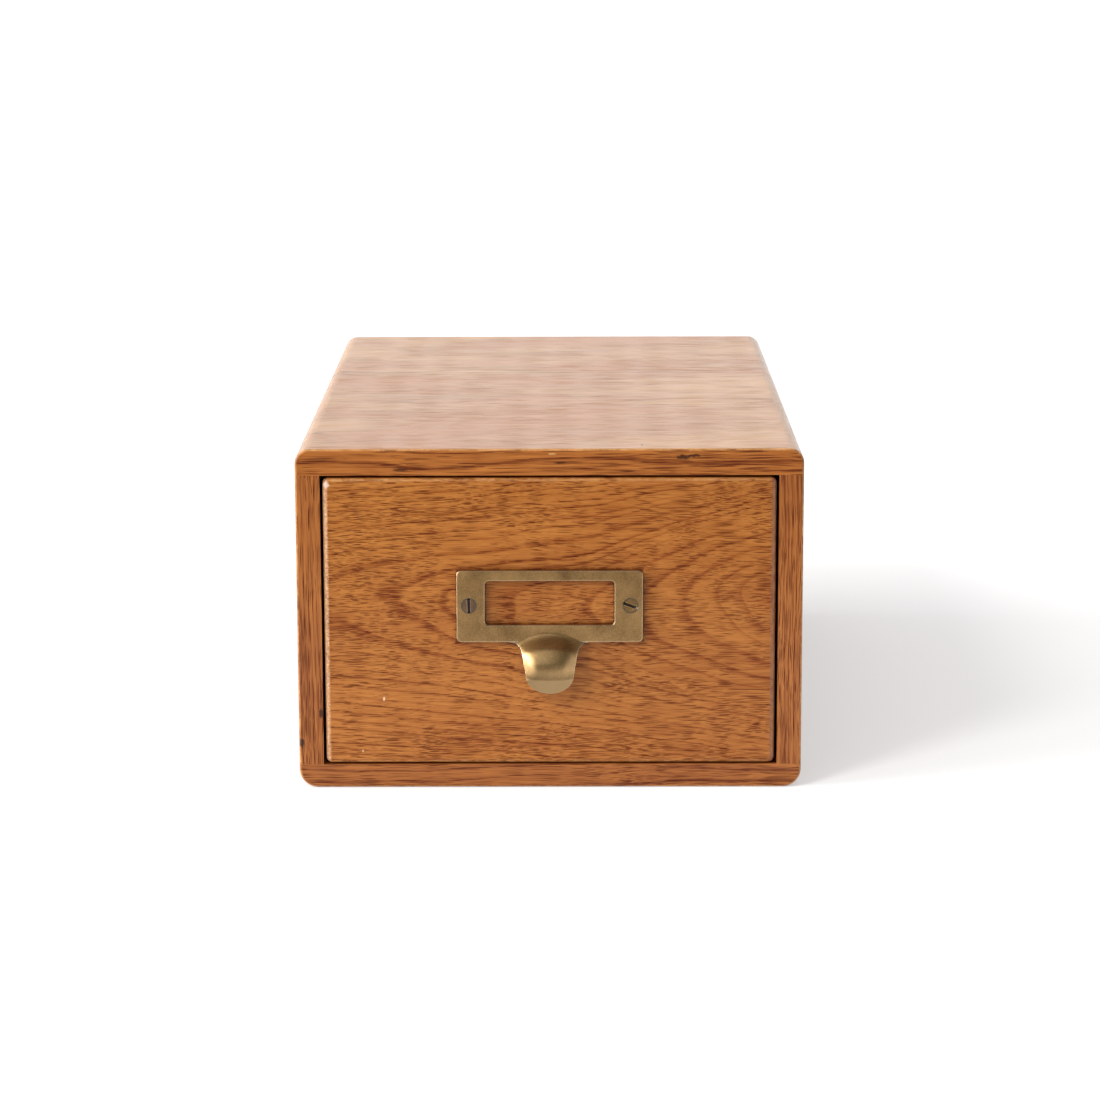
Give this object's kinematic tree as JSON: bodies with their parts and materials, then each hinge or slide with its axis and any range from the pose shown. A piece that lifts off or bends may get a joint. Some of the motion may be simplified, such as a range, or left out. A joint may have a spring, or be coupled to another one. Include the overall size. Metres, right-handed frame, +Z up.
{
  "type": "index card drawer",
  "caption": "Dovetailed oak box with one sliding card tray, a cast brass label frame with a hooded finger pull, and a sliding follower that holds the cards up.",
  "frame": {"origin": "centre of the case's underside", "axes": "+X to the right, -Y out of the drawer's front, +Z up; the drawer pulls out along -Y"},
  "size_m": [0.206, 0.3487, 0.141],
  "materials": {
    "case_oak": "varnished oak, worn at the corners",
    "front_oak": "varnished flat-sawn oak",
    "lining_oak": "bare oak",
    "plywood": "bare birch plywood",
    "cast_brass": "aged cast brass, bright at its worn edges",
    "brass_screw": "aged turned brass",
    "steel": "dull plated steel"
  },
  "bodies": {
    "case": {"case_top": "case_oak", "case_bottom": "case_oak", "case_side_left": "case_oak", "case_side_right": "case_oak", "case_back": "lining_oak", "case_back_screws": "steel", "closing_stop_blocks": "lining_oak", "opening_stop_strip": "lining_oak"},
    "drawer": {"drawer_front": "front_oak", "drawer_side_left": "lining_oak", "drawer_side_right": "lining_oak", "drawer_back": "lining_oak", "drawer_bottom": "plywood", "drawer_bottom_pins": "steel", "label_pull": "cast_brass", "pull_screw_left": "steel", "pull_screw_right": "brass_screw", "button_washer": "brass_screw", "button_screw": "brass_screw"},
    "turn_button": {"turn_button": "lining_oak"},
    "follower": {"follower_plate": "lining_oak", "follower_foot": "lining_oak", "follower_screws": "steel", "follower_bolt": "steel", "follower_clamp_plate": "steel", "follower_washer": "steel"},
    "wing_nut": {"wing_nut": "cast_brass"}
  },
  "joints": [
    {"name": "drawer_slide", "type": "slide", "parent": "case", "child": "drawer", "axis": [0, -1, 0], "range_m": [0, 0.2291]},
    {"name": "follower_slide", "type": "slide", "parent": "drawer", "child": "follower", "axis": [0, 1, 0], "range_m": [-0.215, 0]},
    {"name": "turn_button_turn", "type": "hinge", "parent": "drawer", "child": "turn_button", "pos_m": [0, 0.1523, 0.1096], "axis": [0, 1, 0], "range_deg": [0, 90]},
    {"name": "wing_nut_turn", "type": "hinge", "parent": "follower", "child": "wing_nut", "pos_m": [0, 0.1195, 0.0464], "axis": [0, 0, 1], "range_deg": [0, 360]}
  ]
}
